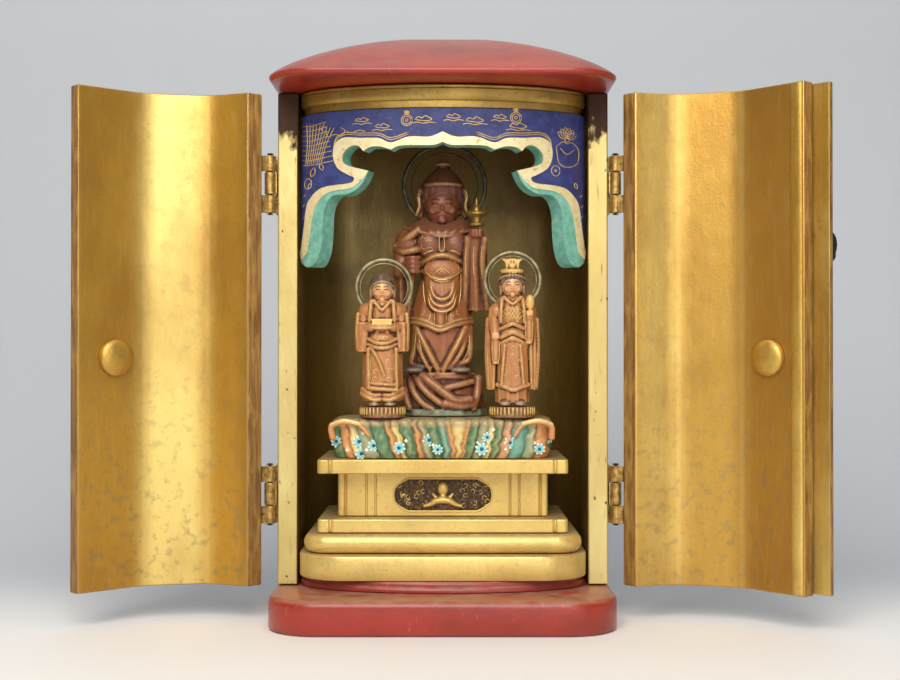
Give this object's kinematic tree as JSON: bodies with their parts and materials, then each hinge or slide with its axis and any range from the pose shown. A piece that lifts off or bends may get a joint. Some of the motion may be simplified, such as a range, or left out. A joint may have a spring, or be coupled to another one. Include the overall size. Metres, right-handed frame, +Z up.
{
  "type": "household altar cabinet",
  "caption": "Small lacquered household altar cabinet with open curved doors, a painted canopy, a gilt stepped dais and three carved figures.",
  "frame": {"origin": "centre of the base's underside, on the surface it stands on", "axes": "+X to the viewer's right, +Y from the open front towards the back, +Z up"},
  "size_m": [0.2576, 0.092, 0.2034],
  "materials": {
    "vermilion_lacquer": "dusty red lacquer, softly glossy",
    "black_lacquer": "brown-black lacquer, worn red along its edges",
    "gilt": "old gold leaf on wood with dark specks",
    "painted_blue": "blue paint with gold line drawing, cream-gold rim and turquoise cut edge",
    "painted_rock": "matt paint in green, turquoise, orange and cream, dusty on top",
    "carved_wood": "stained carved wood with gold line drawing",
    "gold_paint": "gold paint",
    "silvered_ring": "dull silvery gilt metal",
    "hinge_brass": "dull brown brass",
    "dark_iron": "dark iron"
  },
  "bodies": {
    "cabinet": {"base": "vermilion_lacquer", "sill": "vermilion_lacquer", "case": "black_lacquer", "roof": "vermilion_lacquer", "cornice": "gilt", "canopy": "painted_blue", "dais_plinth": "gilt", "dais_bullnose": "gilt", "dais_step": "gilt", "dais_waist": "gilt", "dais_slab": "gilt", "rock": "painted_rock", "guardian": "carved_wood", "guardian_stupa": "gold_paint", "guardian_halo": "silvered_ring", "page": "carved_wood", "page_pedestal": "carved_wood", "page_halo": "silvered_ring", "maiden": "carved_wood", "maiden_pedestal": "carved_wood", "maiden_halo": "silvered_ring", "left_lower_case_leaf": "hinge_brass", "left_upper_case_leaf": "hinge_brass", "right_lower_case_leaf": "hinge_brass", "right_upper_case_leaf": "hinge_brass", "left_lower_pin": "dark_iron", "left_upper_pin": "dark_iron", "right_lower_pin": "dark_iron", "right_upper_pin": "dark_iron"},
    "left_door": {"left_door": "gilt", "left_boss": "gilt", "left_lower_door_leaf": "hinge_brass", "left_upper_door_leaf": "hinge_brass"},
    "right_door": {"right_door": "gilt", "right_boss": "gilt", "astragal": "black_lacquer", "latch": "dark_iron", "right_lower_door_leaf": "hinge_brass", "right_upper_door_leaf": "hinge_brass"}
  },
  "joints": [
    {"name": "left_hinge", "type": "hinge", "parent": "cabinet", "child": "left_door", "pos_m": [-0.0604, -0.0125, 0], "axis": [0, 0, 1], "range_deg": [-30, 137]},
    {"name": "right_hinge", "type": "hinge", "parent": "cabinet", "child": "right_door", "pos_m": [0.0604, -0.0125, 0], "axis": [0, 0, 1], "range_deg": [-131, 30]}
  ]
}
